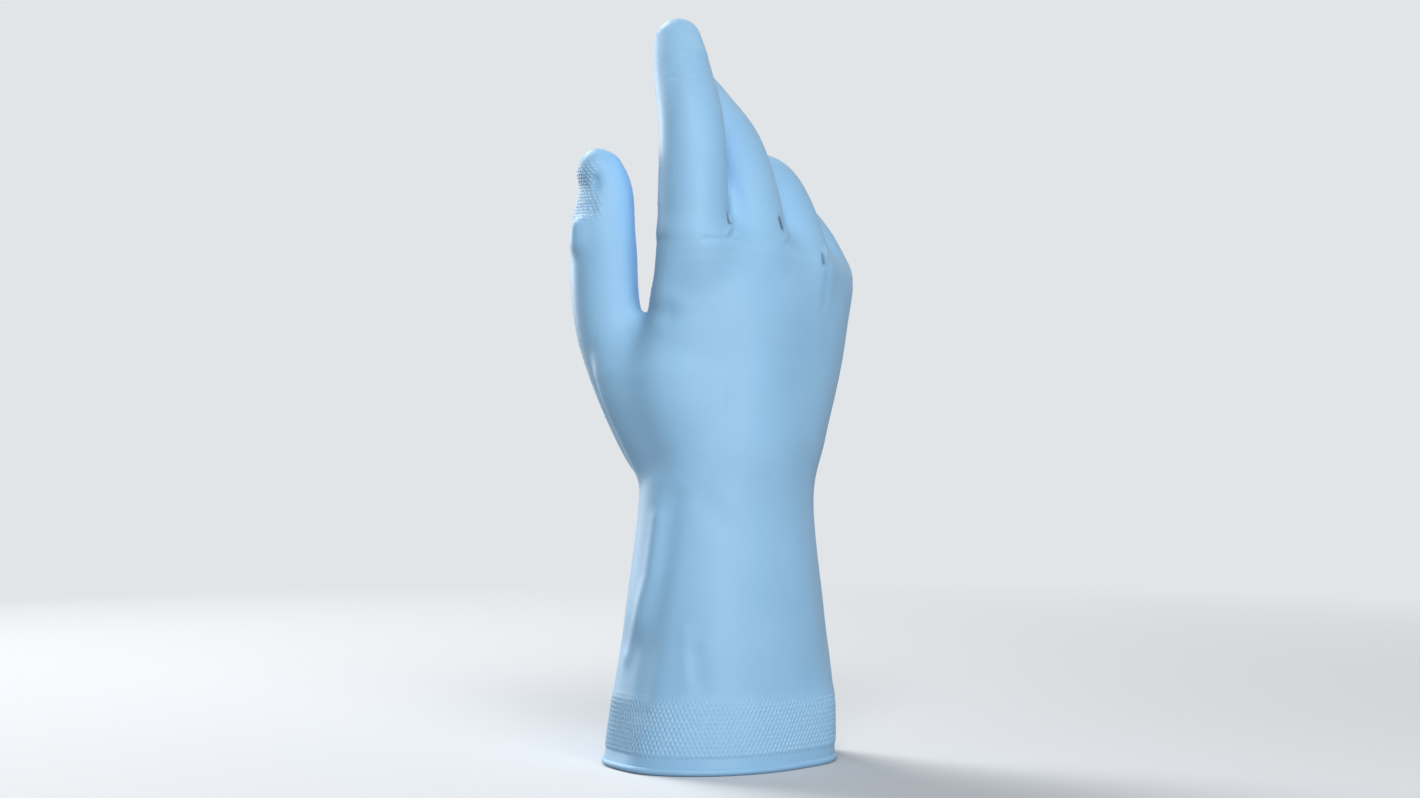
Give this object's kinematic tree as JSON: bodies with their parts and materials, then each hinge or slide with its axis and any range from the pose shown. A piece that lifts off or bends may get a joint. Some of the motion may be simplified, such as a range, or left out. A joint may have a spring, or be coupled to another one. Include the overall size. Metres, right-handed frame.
{
  "type": "household rubber glove",
  "caption": "Sky-blue flock-lined household rubber glove for the right hand, with a flared gauntlet, a diamond grip band and a rolled rim, standing open on its cuff.",
  "frame": {"origin": "centre of the hand opening, in the plane that the cuff's rolled bead rests on", "axes": "+Z from the cuff up towards the finger tips, -X towards the thumb, -Y towards the back of the hand, +Y towards the palm"},
  "size_m": [0.1162, 0.1023, 0.3022],
  "materials": {
    "latex_film": "matt sky-blue natural latex",
    "flock_lining": "off-white cotton flock"
  },
  "bodies": {
    "root": {"cuff_bead": "latex_film", "gauntlet_film": "latex_film", "hand_film": "latex_film", "thumb_film": "latex_film", "index_finger_film": "latex_film", "middle_finger_film": "latex_film", "ring_finger_film": "latex_film", "little_finger_film": "latex_film", "gauntlet_lining": "flock_lining", "hand_lining": "flock_lining", "thumb_lining": "flock_lining", "index_finger_lining": "flock_lining", "middle_finger_lining": "flock_lining", "ring_finger_lining": "flock_lining", "little_finger_lining": "flock_lining"}
  },
  "joints": []
}
